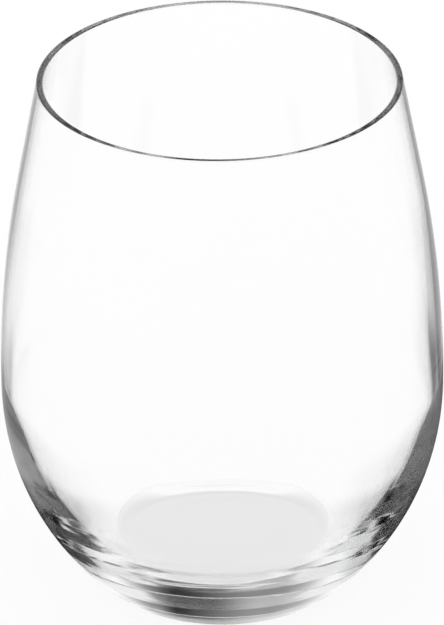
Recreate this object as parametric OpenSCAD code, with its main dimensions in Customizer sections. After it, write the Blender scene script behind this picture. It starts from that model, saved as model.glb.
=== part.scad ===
// Stemless wine glass: one piece of clear glass, a half section turned about +Z.
// Sizes are in millimetres. The origin is on the table, under the middle of the base.

/* [Bowl] */
// Height from the table to the top of the rim
glass_height = 111; // [96:1:126]
// Outside diameter at the belly, the widest ring
belly_diameter = 90; // [82:1:104]
// Height of the belly above the table
belly_height = 43; // [36:1:52]
// Wall thickness at the belly
belly_wall = 2.3; // [1.6:0.1:3.6]
// How much higher the widest ring sits on the inside
belly_lift = 3; // [0:0.5:10]

/* [Rim] */
// Outside diameter of the lip
rim_diameter = 72.4; // [62:0.2:78]
// Width of the lip, from its outer to its inner side
rim_wall = 1.3; // [0.9:0.1:1.8]
// Radius of the melted round on both edges of the lip
rim_edge = 0.3; // [0.1:0.05:0.4]
// Length of the straight wall below the lip
rim_straight = 22; // [8:1:36]

/* [Base] */
// Diameter of the foot, where the heel meets the table
foot_diameter = 51; // [42:1:58]
// Radius of the heel, between the foot and the outer wall
heel_radius = 1.2; // [0.5:0.1:4]
// Width of the flat ring that stands on the table
foot_ring = 4; // [2:0.5:8]
// Depth of the dished hollow inside that ring
punt_depth = 1; // [0.4:0.1:2.5]
// Glass between the hollow and the floor of the bowl
base_thickness = 3.7; // [2.5:0.1:8]
// Diameter of the flat floor inside the bowl
floor_diameter = 43; // [28:1:46]
// Radius of the round corner between that floor and the inner wall
floor_corner = 4; // [2:0.5:12]

/* [Hidden] */
$fn = 240;

// Straight steps in each arc of the section, and in each round of the lip
arc_steps = 24;
lip_steps = 8;

glass_colour = [0.9, 0.95, 0.96, 0.35];

// Outer face as [radius, height]: the belly, the edge of the foot and the middle of the round on the lip
outer_belly = [belly_diameter / 2, belly_height];
outer_foot = [foot_diameter / 2, 0];
outer_lip = [rim_diameter / 2 - rim_edge, glass_height - rim_edge];

// Inner face, in the same three places
inner_belly = [belly_diameter / 2 - belly_wall, belly_height + belly_lift];
inner_floor = [floor_diameter / 2, punt_depth + base_thickness];
inner_lip = [rim_diameter / 2 - rim_wall + rim_edge, glass_height - rim_edge];

// Dished hollow: a cap of a sphere, from the axis out to the flat ring
punt_edge = [foot_diameter / 2 - foot_ring, 0];
punt_radius = (punt_edge.x * punt_edge.x + punt_depth * punt_depth) / (2 * punt_depth);
punt_turn = asin(punt_edge.x / punt_radius);

// Points along an arc, without its last one
function arc(middle, radius, from, to) =
    [for (i = [0:arc_steps - 1])
        let (turn = from + (to - from) * i / arc_steps)
        middle + radius * [cos(turn), sin(turn)]];

function reversed(points) = [for (i = [len(points) - 1:-1:0]) points[i]];

// Radius of the arc that is upright at the belly and runs into the round corner above the foot
function lower_radius(belly, foot, corner) =
    let (step = belly.x - foot.x)
    let (drop = belly.y - foot.y - corner)
    (step * step + drop * drop - corner * corner) / (2 * (step - corner));

// Radius of the upper arc, upright at the belly, whose tangent of the length rim_straight ends at the lip
function upper_radius(belly, lip) =
    let (step = belly.x - lip.x)
    let (rise = lip.y - belly.y)
    (step * step + rise * rise - rim_straight * rim_straight) / (2 * step);

// Turn of that arc, which is also the inward lean of the straight wall
function wall_lean(belly, lip) =
    let (upper = upper_radius(belly, lip))
    atan2(lip.y - belly.y, lip.x - belly.x + upper) - atan2(rim_straight, upper);

// One face of the bowl, up from its flat bottom: round corner, lower arc, upper arc and straight wall.
// The wall ends beside the middle of the round on the lip, edge away from it, outward if edge is above zero
function face(belly, foot, corner, lip, edge) =
    let (lower = lower_radius(belly, foot, corner))
    let (upper = upper_radius(belly - [edge, 0], lip) + edge)
    let (corner_turn = atan2(belly.y - foot.y - corner, foot.x - belly.x + lower))
    let (lean = wall_lean(belly - [edge, 0], lip))
    concat(
        arc(foot + [0, corner], corner, -90, -corner_turn),
        arc(belly - [lower, 0], lower, -corner_turn, 0),
        arc(belly - [upper, 0], upper, 0, lean),
        [belly - [upper, 0] + upper * [cos(lean), sin(lean)]],
        [lip + edge * [cos(lean), sin(lean)]]
    );

// One round of the lip, without its two ends
function lip_round(lip, from, to) =
    [for (i = [1:lip_steps - 1])
        let (turn = from + (to - from) * i / lip_steps)
        lip + rim_edge * [cos(turn), sin(turn)]];

outer_lean = wall_lean(outer_belly - [rim_edge, 0], outer_lip);
inner_lean = wall_lean(inner_belly + [rim_edge, 0], inner_lip);

// Half section: hollow, foot ring, outer face, lip, inner face and floor
section = concat(
    arc([0, punt_depth - punt_radius], punt_radius, 90, 90 - punt_turn),
    [punt_edge],
    face(outer_belly, outer_foot, heel_radius, outer_lip, rim_edge),
    lip_round(outer_lip, outer_lean, 90),
    [outer_lip + [0, rim_edge], inner_lip + [0, rim_edge]],
    lip_round(inner_lip, 90, 180 + inner_lean),
    reversed(face(inner_belly, inner_floor, floor_corner, inner_lip, -rim_edge)),
    [[0, inner_floor.y]]
);

module glass_body() {
    color(glass_colour)
        rotate_extrude()
            polygon(section);
}

glass_body();
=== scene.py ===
import math

import bpy
import numpy as np
from mathutils import Matrix, Vector


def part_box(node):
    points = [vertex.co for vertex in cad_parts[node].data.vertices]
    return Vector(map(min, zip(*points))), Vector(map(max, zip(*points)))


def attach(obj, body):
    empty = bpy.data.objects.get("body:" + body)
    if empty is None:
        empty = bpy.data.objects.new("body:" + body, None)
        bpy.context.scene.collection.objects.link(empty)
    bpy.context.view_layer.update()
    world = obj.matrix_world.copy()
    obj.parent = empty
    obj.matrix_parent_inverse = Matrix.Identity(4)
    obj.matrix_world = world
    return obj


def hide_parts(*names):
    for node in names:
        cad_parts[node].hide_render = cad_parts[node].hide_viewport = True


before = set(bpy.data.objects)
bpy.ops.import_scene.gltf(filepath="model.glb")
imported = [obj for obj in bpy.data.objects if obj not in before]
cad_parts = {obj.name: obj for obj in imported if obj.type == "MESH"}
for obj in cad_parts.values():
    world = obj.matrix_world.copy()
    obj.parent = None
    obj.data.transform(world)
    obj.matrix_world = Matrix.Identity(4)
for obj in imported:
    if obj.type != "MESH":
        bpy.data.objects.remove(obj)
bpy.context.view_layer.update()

scene = bpy.context.scene
scene.view_settings.view_transform = "Standard"

# light runs round inside the thick lower wall and the rim many times before it leaves
bounces = {"glass": 32, "floor": 3}
scene.cycles.max_bounces = bounces["glass"]
scene.cycles.transmission_bounces = bounces["glass"]
scene.cycles.glossy_bounces = bounces["glass"]
scene.cycles.diffuse_bounces = bounces["floor"]

quarterTurn = math.pi / 2
fullTurn = 2 * math.pi


# node helpers

rising = (0.0, 1.0)
falling = (1.0, 0.0)

# what a ray has done so far: Light Path gives its depths as whole numbers, and these lie between them
rayDepth = {
    "scattered": 0.5,           # Diffuse Depth: it has left the floor in a new direction
    "mirrored": 0.5,            # Glossy Depth: it was mirrored at least once
    "intoBowl": 1.5,            # Transmission Depth: through both faces of the near wall
    "acrossBowl": 2.5,          # and on into the far wall or the base
}


def connect(tree, value, socket):
    # a plain number is set on the socket, anything else is linked to it
    if isinstance(value, (int, float)):
        socket.default_value = value
    else:
        tree.links.new(value, socket)


def mathNode(tree, operation, first, second=0.0):
    node = tree.nodes.new("ShaderNodeMath")
    node.operation = operation
    connect(tree, first, node.inputs[0])
    connect(tree, second, node.inputs[1])
    return node.outputs[0]


def times(tree, *values):
    # product of all the values
    result = values[0]
    for value in values[1:]:
        result = mathNode(tree, "MULTIPLY", result, value)
    return result


def largest(tree, *values):
    result = values[0]
    for value in values[1:]:
        result = mathNode(tree, "MAXIMUM", result, value)
    return result


def distance(tree, first, second):
    # square root of first * first + second * second
    total = mathNode(tree, "ADD", times(tree, first, first), times(tree, second, second))
    return mathNode(tree, "SQRT", total)


def isAbove(tree, value, limit):
    # 1 where the value is above the limit, otherwise 0
    return mathNode(tree, "GREATER_THAN", value, limit)


def smoothRamp(tree, value, span, ends=rising):
    # goes smoothly from ends[0] to ends[1] while value goes over the span
    node = tree.nodes.new("ShaderNodeMapRange")
    node.interpolation_type = "SMOOTHSTEP"
    connect(tree, value, node.inputs["Value"])
    for name, number in zip(("From Min", "From Max", "To Min", "To Max"), (*span, *ends)):
        connect(tree, number, node.inputs[name])
    return node.outputs["Result"]


def blendValue(tree, share, first, second):
    # first where the share is 0, second where it is 1
    node = tree.nodes.new("ShaderNodeMix")
    node.data_type = "FLOAT"
    sockets = (node.inputs[0], node.inputs[2], node.inputs[3])
    for socket, value in zip(sockets, (share, first, second)):
        connect(tree, value, socket)
    return node.outputs[0]


def coordinates(tree, kind):
    # the coordinates whole, and split into x, y and z
    place = tree.nodes.new("ShaderNodeTexCoord").outputs[kind]
    split = tree.nodes.new("ShaderNodeSeparateXYZ")
    connect(tree, place, split.inputs[0])
    return place, split.outputs


# the glass, metres

lowCorner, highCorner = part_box("glass_body")

glass = {
    "height": highCorner.z - lowCorner.z,
    "bellyRadius": min(-lowCorner.x, highCorner.x, -lowCorner.y, highCorner.y),
    "bellyHeight": 0.043,
    "bellyWall": 0.0023,
    "bellyLift": 0.003,         # the widest ring is this much higher inside
    "rimRadius": 0.0362,
    "rimWall": 0.0013,
    "rimEdge": 0.0003,          # round of the two edges of the lip
    "rimStraight": 0.022,
    "footRadius": 0.0255,
    "heelRadius": 0.0012,
    "footRing": 0.004,
    "puntDepth": 0.001,
    "baseThickness": 0.0037,
    "floorRadius": 0.0215,
    "floorCorner": 0.004,
    "segments": 480,            # round the axis
    "puntSteps": 8,             # steps in the arcs of the section
    "cornerSteps": 12,
    "outerSteps": 30,
    "outerCrowd": 1.0,          # evenly spaced
    "innerSteps": 84,           # finer, for the ripples
    "innerCrowd": 1.4,          # and finest near the floor
    "upperSteps": 12,
    "lipSteps": 6,
    "footShares": (0.0, 0.04, 0.5, 0.96),   # points on the straight parts, as shares of their length
    "wallShares": (0.0, 0.3, 0.6, 0.85, 0.96, 0.99),
    "lipShares": (0.0, 0.1, 0.9),
    "floorShares": (0.0, 0.6, 0.9, 0.98),
}


def arcPoints(middle, radius, start, end, count, crowd=1.0):
    # middle + radius * (cos turn, sin turn), the turn going from start up to, not onto, end;
    # the points crowd towards the start where crowd is above 1
    turn = start + (end - start) * np.linspace(0.0, 1.0, count, endpoint=False)**crowd
    return np.stack([middle[0] + radius * np.cos(turn), middle[1] + radius * np.sin(turn)], axis=1)


def linePoints(start, end, shares):
    # start + share * (end - start); a point close to an end keeps the shading of a round off the flat
    return np.asarray(start) + np.outer(shares, np.subtract(end, start))


def bowlFace(g, belly, foot, corner, lip, edge, steps, crowd):
    # one face of the bowl from its flat bottom up: round corner, an arc that is upright at the belly,
    # an upper arc that is upright there too, and its tangent, which ends beside the middle of the
    # round on the lip, edge away from it
    straight = g["rimStraight"]
    step, drop = belly[0] - foot[0], belly[1] - foot[1] - corner
    lower = (step**2 + drop**2 - corner**2) / (2 * (step - corner))
    cornerTurn = math.atan2(drop, foot[0] - belly[0] + lower)
    inset, rise = belly[0] - edge - lip[0], lip[1] - belly[1]
    upper = (inset**2 + rise**2 - straight**2) / (2 * inset)
    lean = math.atan2(rise, upper - inset) - math.atan2(straight, upper)
    leanOut = np.array([math.cos(lean), math.sin(lean)])
    upperMiddle = np.array([belly[0] - edge - upper, belly[1]])
    wallStart = upperMiddle + (upper + edge) * leanOut
    face = np.vstack([
        arcPoints((foot[0], foot[1] + corner), corner, -quarterTurn, -cornerTurn, g["cornerSteps"]),
        arcPoints((belly[0] - lower, belly[1]), lower, -cornerTurn, 0, steps, crowd),
        arcPoints(upperMiddle, upper + edge, 0, lean, g["upperSteps"]),
        linePoints(wallStart, lip + edge * leanOut, g["wallShares"]),
    ])
    return face, lean


def halfSection(g):
    # radius and height along the outline: hollow under the base, which is a cap of a sphere,
    # foot ring, outer face, lip, inner face and floor
    edge = g["rimEdge"]
    outerLip = np.array([g["rimRadius"] - edge, g["height"] - edge])
    innerLip = np.array([g["rimRadius"] - g["rimWall"] + edge, g["height"] - edge])
    puntEdge = g["footRadius"] - g["footRing"]
    puntRadius = (puntEdge**2 + g["puntDepth"]**2) / (2 * g["puntDepth"])
    puntMiddle = (0.0, g["puntDepth"] - puntRadius)
    puntTurn = math.asin(puntEdge / puntRadius)
    floorHeight = g["puntDepth"] + g["baseThickness"]
    outerBelly = (g["bellyRadius"], g["bellyHeight"])
    innerBelly = (g["bellyRadius"] - g["bellyWall"], g["bellyHeight"] + g["bellyLift"])
    outer, outerLean = bowlFace(g, outerBelly, (g["footRadius"], 0.0), g["heelRadius"],
                                outerLip, edge, g["outerSteps"], g["outerCrowd"])
    inner, innerLean = bowlFace(g, innerBelly, (g["floorRadius"], floorHeight), g["floorCorner"],
                                innerLip, -edge, g["innerSteps"], g["innerCrowd"])
    innerRim = innerLip - edge * np.array([math.cos(innerLean), math.sin(innerLean)])
    return np.vstack([
        arcPoints(puntMiddle, puntRadius, quarterTurn, quarterTurn - puntTurn, g["puntSteps"]),
        linePoints((puntEdge, 0.0), (g["footRadius"], 0.0), g["footShares"]),
        outer,
        arcPoints(outerLip, edge, outerLean, quarterTurn, g["lipSteps"]),
        linePoints((outerLip[0], g["height"]), (innerLip[0], g["height"]), g["lipShares"]),
        arcPoints(innerLip, edge, quarterTurn, math.pi + innerLean, g["lipSteps"]),
        innerRim[None],
        inner[::-1],
        linePoints((0.0, floorHeight), inner[0], g["floorShares"])[::-1],
    ])


ripple = {
    "seed": 7,
    "rings": {"height": 0.000007, "lengths": (0.002, 0.006), "turns": (-2, 2), "count": 24,
              "zone": ((0.0050, 0.0065), (0.016, 0.028))},      # heights of fading in and out
    "flutes": {"height": 0.000003, "lengths": (0.010, 0.040), "turns": (10, 36), "count": 24,
               "zone": ((0.0050, 0.0065), (0.009, 0.017))},
    "offCentre": 0.00018,       # the left wall is thinner and the right one thicker by this much
    "offZone": ((0.006, 0.018), (0.045, 0.085)),
}


def zoneShare(height, spans):
    # s rises from 0 to 1 over the first span of heights and falls back over the second, eased as
    # s * s * (3 - 2 * s)
    rise = np.clip((height - spans[0][0]) / (spans[0][1] - spans[0][0]), 0, 1)
    fall = np.clip((spans[1][1] - height) / (spans[1][1] - spans[1][0]), 0, 1)
    share = rise * fall
    return share * share * (3 - 2 * share)


def rippleField(draw, wave, along, height, angle):
    # sum of cosines, each with its own length along the section, number of turns round the glass and
    # phase; the root at the end makes height the root mean square of the sum
    count = wave["count"]
    lengths = draw.uniform(*wave["lengths"], count)
    turns = draw.integers(wave["turns"][0], wave["turns"][1] + 1, count)
    phases = draw.uniform(0.0, fullTurn, count)
    swing = fullTurn * along[:, None, None] / lengths + turns * angle[None, :, None] + phases
    share = zoneShare(height, wave["zone"])[:, None]
    return wave["height"] * share * np.cos(swing).sum(axis=2) * math.sqrt(2 / count)


def innerRipples(section, angle, look):
    # how far each point of the grid stands off along the normal of the section: both sets of ripples
    # and offCentre * cos angle; nothing but the inner face moves
    along = np.concatenate([[0.0], np.hypot(*np.diff(section, axis=0).T).cumsum()])
    inner = np.arange(len(section)) > section[:, 1].argmax()
    height = section[:, 1]
    draw = np.random.default_rng(look["seed"])
    field = sum(rippleField(draw, look[kind], along, height, angle) for kind in ("rings", "flutes"))
    field = field + zoneShare(height, look["offZone"])[:, None] * look["offCentre"] * np.cos(angle)
    return inner[:, None] * field


def turnSection(section, segments, waves, name):
    # each point of the section, moved along its normal by the waves, carried round +Z:
    # (r cos a, r sin a, z); both ends are single points on the axis
    angle = np.linspace(0.0, fullTurn, segments, endpoint=False)
    tangent = np.gradient(section, axis=0)
    normal = np.stack([tangent[:, 1], -tangent[:, 0]], axis=1) / np.hypot(*tangent.T)[:, None]
    moved = section[:, None, :] + normal[:, None, :] * innerRipples(section, angle, waves)[..., None]
    rings = moved[1:-1]
    grid = np.empty((len(rings), segments, 3))
    grid[..., 0] = rings[..., 0] * np.cos(angle)
    grid[..., 1] = rings[..., 0] * np.sin(angle)
    grid[..., 2] = rings[..., 1]
    poles = np.array([[0.0, 0.0, section[0, 1]], [0.0, 0.0, section[-1, 1]]])
    index = np.arange(grid[..., 0].size).reshape(len(rings), segments)
    after = np.roll(index, -1, axis=1)
    quads = np.stack([index[:-1], after[:-1], after[1:], index[1:]], axis=-1).reshape(-1, 4)
    under = np.stack([np.full(segments, index.size), after[0], index[0]], axis=-1)
    over = np.stack([np.full(segments, index.size + 1), index[-1], after[-1]], axis=-1)
    points = np.vstack([grid.reshape(-1, 3), poles])
    faces = [*quads.tolist(), *under.tolist(), *over.tolist()]
    mesh = bpy.data.meshes.new(name)
    mesh.from_pydata(points, [], faces)
    mesh.shade_smooth()
    piece = bpy.data.objects.new(name, mesh)
    scene.collection.objects.link(piece)
    return piece


glassLook = {
    "ior": 1.5,
    "clear": (1.0, 1.0, 1.0, 1.0),
    "thickTint": (0.996, 0.998, 0.998, 1.0),
    "tintScale": 38.0,          # clouds of tint to the metre
    "tintSpan": (0.35, 0.65),   # of the noise
    "smearScale": 260.0,
    "smearSpan": (0.55, 0.75),
    "smearStretch": (1.0, 1.0, 0.25),   # the smears run up and down
    "smearRough": 0.01,
    "heavyRough": 0.03,         # fine waviness of the thick lower wall
    "heavyBelow": (0.026, 0.040),
    "lipRough": 0.12,           # the melted lip is less even than the wall
    "lipHeight": 0.0012,
    "absorbColour": (0.49, 0.5, 0.498, 1.0),
    "absorbDensity": 5.0,       # to the metre
}


def clearGlass(look):
    # clear glass with a trace of cloudy tint and faint smears left by a cloth
    material = bpy.data.materials.new("clear_glass")
    material.use_nodes = True
    tree = material.node_tree
    shader = tree.nodes["Principled BSDF"]
    shader.inputs["Metallic"].default_value = 0.0
    shader.inputs["Transmission Weight"].default_value = 1.0
    shader.inputs["IOR"].default_value = look["ior"]
    place, (_, _, z) = coordinates(tree, "Object")

    cloud = tree.nodes.new("ShaderNodeTexNoise")
    cloud.inputs["Scale"].default_value = look["tintScale"]
    connect(tree, place, cloud.inputs["Vector"])
    tint = tree.nodes.new("ShaderNodeMix")
    tint.data_type = "RGBA"
    connect(tree, smoothRamp(tree, cloud.outputs["Fac"], look["tintSpan"]), tint.inputs[0])
    tint.inputs[6].default_value = look["clear"]
    tint.inputs[7].default_value = look["thickTint"]
    connect(tree, tint.outputs[2], shader.inputs["Base Color"])

    stretch = tree.nodes.new("ShaderNodeMapping")
    stretch.inputs["Scale"].default_value = look["smearStretch"]
    connect(tree, place, stretch.inputs["Vector"])
    smear = tree.nodes.new("ShaderNodeTexNoise")
    smear.inputs["Scale"].default_value = look["smearScale"]
    connect(tree, stretch.outputs["Vector"], smear.inputs["Vector"])
    smears = smoothRamp(tree, smear.outputs["Fac"], look["smearSpan"], (0.0, look["smearRough"]))
    heavy = smoothRamp(tree, z, look["heavyBelow"], (look["heavyRough"], 0.0))
    lipFrom = (glass["height"] - look["lipHeight"], glass["height"] - glass["rimEdge"])
    lip = smoothRamp(tree, z, lipFrom, (0.0, look["lipRough"]))
    rough = mathNode(tree, "ADD", mathNode(tree, "ADD", smears, heavy), lip)
    connect(tree, rough, shader.inputs["Roughness"])

    # the glass takes a little light over its thickness, which shows in the base
    absorb = tree.nodes.new("ShaderNodeVolumeAbsorption")
    absorb.inputs["Color"].default_value = look["absorbColour"]
    absorb.inputs["Density"].default_value = look["absorbDensity"]
    connect(tree, absorb.outputs[0], tree.nodes["Material Output"].inputs["Volume"])
    return material


glassPiece = turnSection(halfSection(glass), glass["segments"], ripple, "stemless_glass")
glassPiece.data.materials.append(clearGlass(glassLook))
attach(glassPiece, "root")
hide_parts("glass_body")
print("glass:", len(glassPiece.data.vertices), "points,", len(glassPiece.data.polygons), "faces")


# the floor, metres; its shades show in the glass alone, and spans named Bearing are cosines of the
# bearing from straight before the glass

floorLook = {
    "halfWidth": 20.0,
    "drop": 0.0001,                     # below the foot, so that the two faces don't fight
    "colour": 0.95,
    "shadowShare": 0.1,                 # how much of the real shadow shows
    "sideTurn": (-0.011, 0.008),        # pairs of shades go from the left one to the right one here
    "baseShade": 0.215,                 # under the base, seen across the bowl
    "baseEdge": (0.0203, 0.0213),
    "baseSoft": 0.005,                  # at the sides that edge ends this much further out
    "softFrom": (0.010, 0.020),
    "baseShift": 0.003,                 # that shade lies this much nearer to the camera than the base
    "baseNarrow": 0.87,                 # and is wider than deep
    "baseLine": 0.05,                   # a thin darker line along its far edge
    "lineEdge": (0.0190, 0.0203),
    "edgeShade": 0.1,                   # its front edge is a little darker
    "edgeFront": (0.013, 0.020),
    "wingShade": 0.26,                  # shade beyond its two sides
    "wingSide": (0.022, 0.034),
    "wingBack": (0.004, 0.015),
    "cornerShade": 0.34,                # and at its left front
    "cornerSide": (0.012, 0.026),
    "cornerFront": (0.004, 0.012),
    "wingEnd": (0.034, 0.047),          # both end within this distance from the axis
    "footShades": (1.0, 0.8),           # at the front of the foot ring, seen through the wall
    "footRing": ((0.0150, 0.0175), (0.0275, 0.0305)),
    "footBearing": (0.45, 0.85),
    "sideShades": (0.95, 0.84),         # beside the foot and a little before it, seen through the wall
    "sideRing": ((0.030, 0.034), (0.052, 0.062)),
    "sideBearing": ((-0.1, 0.05), (0.35, 0.5)),
    "besideShade": 0.98,                # beside the foot, seen as a reflection in the lower wall
    "besideRing": ((0.030, 0.036), (0.095, 0.120)),
    "besideBearing": (0.45, 0.65),
    "farShades": (0.5, 0.92),           # and further out
    "farFrom": (0.050, 0.066),
    "nearShades": (0.95, 0.4),          # before the foot, seen as a reflection in the heel
    "nearRing": ((0.0265, 0.0285), (0.037, 0.042)),
    "nearBearing": (0.86, 0.94),
    "leftShadePatch": (0.6, 0.2),             # painted shade patches on the floor at both sides: shade before and after the fade
    "rightShadePatch": (0.8, 0.2),
    "patchFade": (0.066, 0.100),
    "patchSide": (0.060, 0.078),
    "patchOuter": (0.078, 0.120),        # they pale outwards over this span
    "patchPale": 0.75,
    "patchFront": (0.034, 0.050),
    "throughBack": (0.13, 0.165),
    "throughBearing": (-0.60, -0.50),   # seen through the glass they lie well behind it
    "mirrorBack": (0.2, 0.5),
    "mirrorOuter": (0.14, 0.21),        # and seen as a reflection the right one ends here
    "bowlFrom": (0.050, 0.110),
    "bowlShadePatch": 0.1,                    # the most that is seen of them across the bowl
}


def floorShades(tree, look, path):
    # how dark the floor is for a ray that comes through the glass or off it, from 0 to 1
    _, (x, y, _) = coordinates(tree, "Object")
    left = times(tree, x, -1.0)
    ahead = times(tree, y, -1.0)
    aside = mathNode(tree, "ABSOLUTE", x)
    reach = largest(tree, distance(tree, x, y), look["drop"])
    front = mathNode(tree, "DIVIDE", ahead, reach)

    def ring(spans, *shades):
        # the shades, rising over the first span of reach and falling to nothing over the second
        rise = smoothRamp(tree, reach, spans[0])
        return times(tree, rise, smoothRamp(tree, reach, spans[1], falling), *shades)

    def leftRight(shades):
        return smoothRamp(tree, x, look["sideTurn"], shades)

    def shadePatch(side, shades, back):
        # a painted shade patch on the floor: beyond the side span on one side, where side grows, and
        # from the front span to the back in depth
        depth = times(tree, smoothRamp(tree, y, look["patchFront"]), smoothRamp(tree, y, back, falling))
        paling = smoothRamp(tree, side, look["patchOuter"], (1.0, look["patchPale"]))
        fade = smoothRamp(tree, y, look["patchFade"], shades)
        return times(tree, fade, depth, paling, smoothRamp(tree, side, look["patchSide"]))

    # the disc under the base with its two darker edges, and the shade beyond it
    back = mathNode(tree, "ADD", y, look["baseShift"])
    fromBase = distance(tree, times(tree, x, look["baseNarrow"]), back)
    farLine = times(tree, smoothRamp(tree, fromBase, look["lineEdge"], (0.0, look["baseLine"])),
                    smoothRamp(tree, back, (0.0, look["lineEdge"][0])))
    frontLine = smoothRamp(tree, ahead, look["edgeFront"], (0.0, look["edgeShade"]))
    lines = mathNode(tree, "ADD", farLine, frontLine)
    soft = smoothRamp(tree, aside, look["softFrom"], (0.0, look["baseSoft"]))
    edge = (look["baseEdge"][0], mathNode(tree, "ADD", soft, look["baseEdge"][1]))
    disc = times(tree, smoothRamp(tree, fromBase, edge, falling),
                 mathNode(tree, "ADD", lines, look["baseShade"]))
    wings = times(tree, smoothRamp(tree, y, look["wingBack"], falling),
                  smoothRamp(tree, aside, look["wingSide"], (0.0, look["wingShade"])))
    corner = times(tree, smoothRamp(tree, ahead, look["cornerFront"]),
                   smoothRamp(tree, left, look["cornerSide"], (0.0, look["cornerShade"])))
    wingFade = smoothRamp(tree, reach, look["wingEnd"], falling)
    beyond = times(tree, largest(tree, wings, corner), wingFade)
    base = largest(tree, disc, beyond)

    # through the wall alone: the painted shade at the foot, and the painted shade patches where the
    # ray was mirrored inside the glass
    foot = ring(look["footRing"], smoothRamp(tree, front, look["footBearing"]),
                leftRight(look["footShades"]))
    sideShade = smoothRamp(tree, front, look["sideBearing"][1], (leftRight(look["sideShades"]), 0.0))
    besideFoot = ring(look["sideRing"], smoothRamp(tree, front, look["sideBearing"][0]), sideShade)
    shadePatches = largest(tree, shadePatch(left, look["leftShadePatch"], look["throughBack"]),
                    shadePatch(x, look["rightShadePatch"], look["throughBack"]))
    shadePatches = times(tree, shadePatches, smoothRamp(tree, front, look["throughBearing"], falling))
    mirroredInside = isAbove(tree, path["Glossy Depth"], rayDepth["mirrored"])
    inWall = largest(tree, foot, besideFoot, times(tree, shadePatches, mirroredInside))

    # across the bowl: the painted shade under the base where the ray wasn't mirrored, and a little of
    # the painted shade patches
    direct = mathNode(tree, "SUBTRACT", 1.0, mirroredInside)
    mostSeen = smoothRamp(tree, y, look["bowlFrom"], (0.0, look["bowlShadePatch"]))
    inBowl = largest(tree, times(tree, base, direct), mathNode(tree, "MINIMUM", shadePatches, mostSeen))
    acrossBowl = isAbove(tree, path["Transmission Depth"], rayDepth["acrossBowl"])
    through = blendValue(tree, acrossBowl, inWall, inBowl)

    # as reflections in the outside of the glass
    besideShade = smoothRamp(tree, reach, look["farFrom"],
                             (look["besideShade"], leftRight(look["farShades"])))
    beside = ring(look["besideRing"], smoothRamp(tree, front, look["besideBearing"], falling),
                  besideShade)
    near = ring(look["nearRing"], leftRight(look["nearShades"]),
                smoothRamp(tree, front, look["nearBearing"]))
    # the right painted shade patch, seen as a reflection
    mirroredShadePatch = times(tree, shadePatch(x, look["rightShadePatch"], look["mirrorBack"]),
                       smoothRamp(tree, x, look["mirrorOuter"], falling))
    mirrored = largest(tree, beside, near, mirroredShadePatch)
    return largest(tree, times(tree, through, path["Is Transmission Ray"]),
                   times(tree, mirrored, path["Is Reflection Ray"]))


def paleFloor(look):
    # a flat square a little below the foot
    half, drop = look["halfWidth"], look["drop"]
    corners = [(-half, -half, -drop), (half, -half, -drop), (half, half, -drop), (-half, half, -drop)]
    mesh = bpy.data.meshes.new("floor")
    mesh.from_pydata(corners, [], [(0, 1, 2, 3)])
    piece = bpy.data.objects.new("floor", mesh)
    scene.collection.objects.link(piece)
    material = bpy.data.materials.new("pale_floor")
    mesh.materials.append(material)
    material.use_nodes = True
    tree = material.node_tree
    tree.nodes.clear()
    path = tree.nodes.new("ShaderNodeLightPath").outputs
    seen = mathNode(tree, "SUBTRACT", 1.0, floorShades(tree, look, path))

    # scattered light meets paint; the camera sees plain white and a share of the shaded paint
    paint = tree.nodes.new("ShaderNodeBsdfDiffuse")
    grey = tree.nodes.new("ShaderNodeCombineColor")
    painted = times(tree, seen, look["colour"])
    for socket in grey.inputs[:3]:
        connect(tree, painted, socket)
    connect(tree, grey.outputs[0], paint.inputs["Color"])
    white = tree.nodes.new("ShaderNodeEmission")
    connect(tree, seen, white.inputs["Strength"])
    mix = tree.nodes.new("ShaderNodeMixShader")
    lighting = isAbove(tree, path["Diffuse Depth"], rayDepth["scattered"])
    shadow = times(tree, path["Is Camera Ray"], look["shadowShare"])
    connect(tree, largest(tree, lighting, shadow), mix.inputs[0])
    connect(tree, white.outputs[0], mix.inputs[1])
    connect(tree, paint.outputs[0], mix.inputs[2])
    connect(tree, mix.outputs[0], tree.nodes.new("ShaderNodeOutputMaterial").inputs["Surface"])
    return piece


paleFloor(floorLook)
print("floor: in place")


# the studio: two white screens behind the glass, a dark gap between them and a dim room in front;
# spans named Edge are cosines and spans named Turn are sines of the bearing from straight behind the
# glass, and the other spans are sines of the height above the level

studio = {
    "white": 1.0,                   # screens, ceiling, sweep and what is seen directly
    "colour": (1.0, 1.0, 1.0, 1.0),
    "room": 0.015,
    "behindCamera": (0.20, 0.28),   # left and right of the camera
    "behindTurn": (-0.15, 0.15),
    "behindEdge": (-0.96, -0.5),
    "screenEdge": (0.03, 0.15),
    "screenTurn": 0.15,             # the screens reach further round on the left
    "screenTop": (0.68, 0.76),
    "gapEdge": (0.80, 0.88),
    "gapFrom": (0.28, 0.36),
    "gapShades": (0.5, 0.05),       # left and right of the glass
    "gapTurn": (-0.25, 0.10),
    "ceilingFrom": (0.74, 0.80),    # white ceiling on the camera's side
    "ceilingEdge": (-0.4, -0.1),
    "horizon": (0.10, 0.20),        # white sweep all round below this
    "overhead": 0.8,
    "overheadFrom": (0.88, 0.96),
    "evenShare": 0.6,               # light on the floor: share that comes evenly from all round
    "floorGain": 1.35,              # brings the open floor to white
    "leastLevel": 0.000001,         # keeps the divisions off zero straight overhead
}


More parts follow.
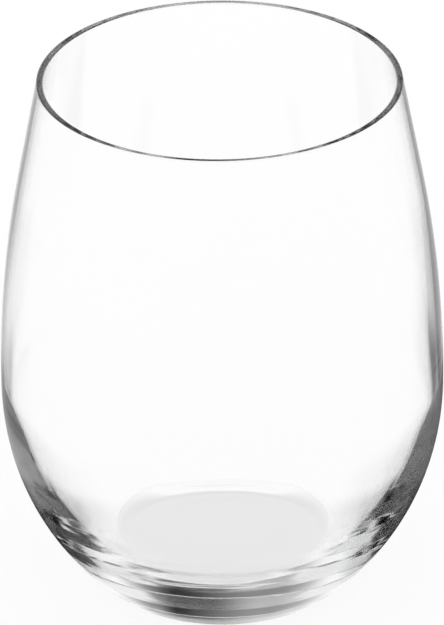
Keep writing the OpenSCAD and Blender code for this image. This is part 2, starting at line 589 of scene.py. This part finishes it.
def studioSky(look):
    # brightness by direction: y and x over the level length give the bearing's cosine and sine
    world = bpy.data.worlds.new("studio")
    scene.world = world
    world.use_nodes = True
    tree = world.node_tree
    tree.nodes.clear()
    _, (x, y, z) = coordinates(tree, "Generated")
    level = mathNode(tree, "SUBTRACT", 1.0, times(tree, z, z))
    level = mathNode(tree, "SQRT", largest(tree, level, look["leastLevel"]))
    bearing = mathNode(tree, "DIVIDE", y, level)
    sideways = mathNode(tree, "DIVIDE", x, level)

    # each stage lies over the ones before it
    white = look["white"]
    behind = smoothRamp(tree, sideways, look["behindTurn"], look["behindCamera"])
    behindShare = smoothRamp(tree, bearing, look["behindEdge"], falling)
    room = blendValue(tree, behindShare, look["room"], behind)
    turned = mathNode(tree, "SUBTRACT", bearing, times(tree, sideways, look["screenTurn"]))
    value = blendValue(tree, smoothRamp(tree, turned, look["screenEdge"]), room, white)
    gap = times(tree, smoothRamp(tree, bearing, look["gapEdge"]), smoothRamp(tree, z, look["gapFrom"]))
    gapShade = smoothRamp(tree, sideways, look["gapTurn"], look["gapShades"])
    value = blendValue(tree, gap, value, gapShade)
    value = blendValue(tree, smoothRamp(tree, z, look["screenTop"]), value, room)
    value = blendValue(tree, smoothRamp(tree, z, look["horizon"]), white, value)
    value = blendValue(tree, smoothRamp(tree, z, look["overheadFrom"]), value, look["overhead"])
    ceiling = times(tree, smoothRamp(tree, z, look["ceilingFrom"]),
                    smoothRamp(tree, bearing, look["ceilingEdge"], falling))
    value = blendValue(tree, ceiling, value, white)

    path = tree.nodes.new("ShaderNodeLightPath").outputs
    lighting = isAbove(tree, path["Diffuse Depth"], rayDepth["scattered"])
    onFloor = times(tree, blendValue(tree, look["evenShare"], value, white), look["floorGain"])
    value = blendValue(tree, lighting, value, onFloor)
    # white where the bowl's inner face mirrors the room, and behind its far wall
    mirroredInBowl = times(tree, path["Is Reflection Ray"],
                           isAbove(tree, path["Transmission Depth"], rayDepth["intoBowl"]))
    acrossBowl = isAbove(tree, path["Transmission Depth"], rayDepth["acrossBowl"])
    plain = largest(tree, mirroredInBowl, acrossBowl, path["Is Camera Ray"])
    value = blendValue(tree, plain, value, white)
    sky = tree.nodes.new("ShaderNodeBackground")
    sky.inputs["Color"].default_value = look["colour"]
    connect(tree, value, sky.inputs["Strength"])
    connect(tree, sky.outputs[0], tree.nodes.new("ShaderNodeOutputWorld").inputs["Surface"])


studioSky(studio)
print("studio: in place")


# the camera, placed by the outline of the glass in the photograph

camera = {
    "imageSize": (444, 625),
    "middlePixel": (221.81, 324.5),     # middle of the glass in the photograph
    "pixelsPerMetre": 4935.0,           # at the middle of the glass
    "distance": 1.0,
    "elevation": 28.95,                 # degrees
    "roll": -0.508,
    "sensor": 36.0,                     # millimetres
    "clipEnd": 50.0,
}


def photoCamera(look):
    # looks at the middle of the glass; the shift brings that to its pixel
    data = bpy.data.cameras.new("camera")
    piece = bpy.data.objects.new("camera", data)
    scene.collection.objects.link(piece)
    width, height = look["imageSize"]
    longSide = max(width, height)
    tilt = math.radians(look["elevation"])
    target = Vector((0.0, 0.0, glass["height"] / 2))
    place = target + look["distance"] * Vector((0.0, -math.cos(tilt), math.sin(tilt)))
    turn = (target - place).to_track_quat("-Z", "Y").to_matrix().to_4x4()
    roll = Matrix.Rotation(math.radians(look["roll"]), 4, "Z")
    piece.matrix_world = Matrix.Translation(place) @ turn @ roll
    data.sensor_width = look["sensor"]
    data.lens = look["pixelsPerMetre"] * look["distance"] * look["sensor"] / longSide
    data.shift_x = (width / 2 - look["middlePixel"][0]) / longSide
    data.shift_y = (look["middlePixel"][1] - height / 2) / longSide
    data.clip_end = look["clipEnd"]
    scene.camera = piece


photoCamera(camera)
print("camera: in place")
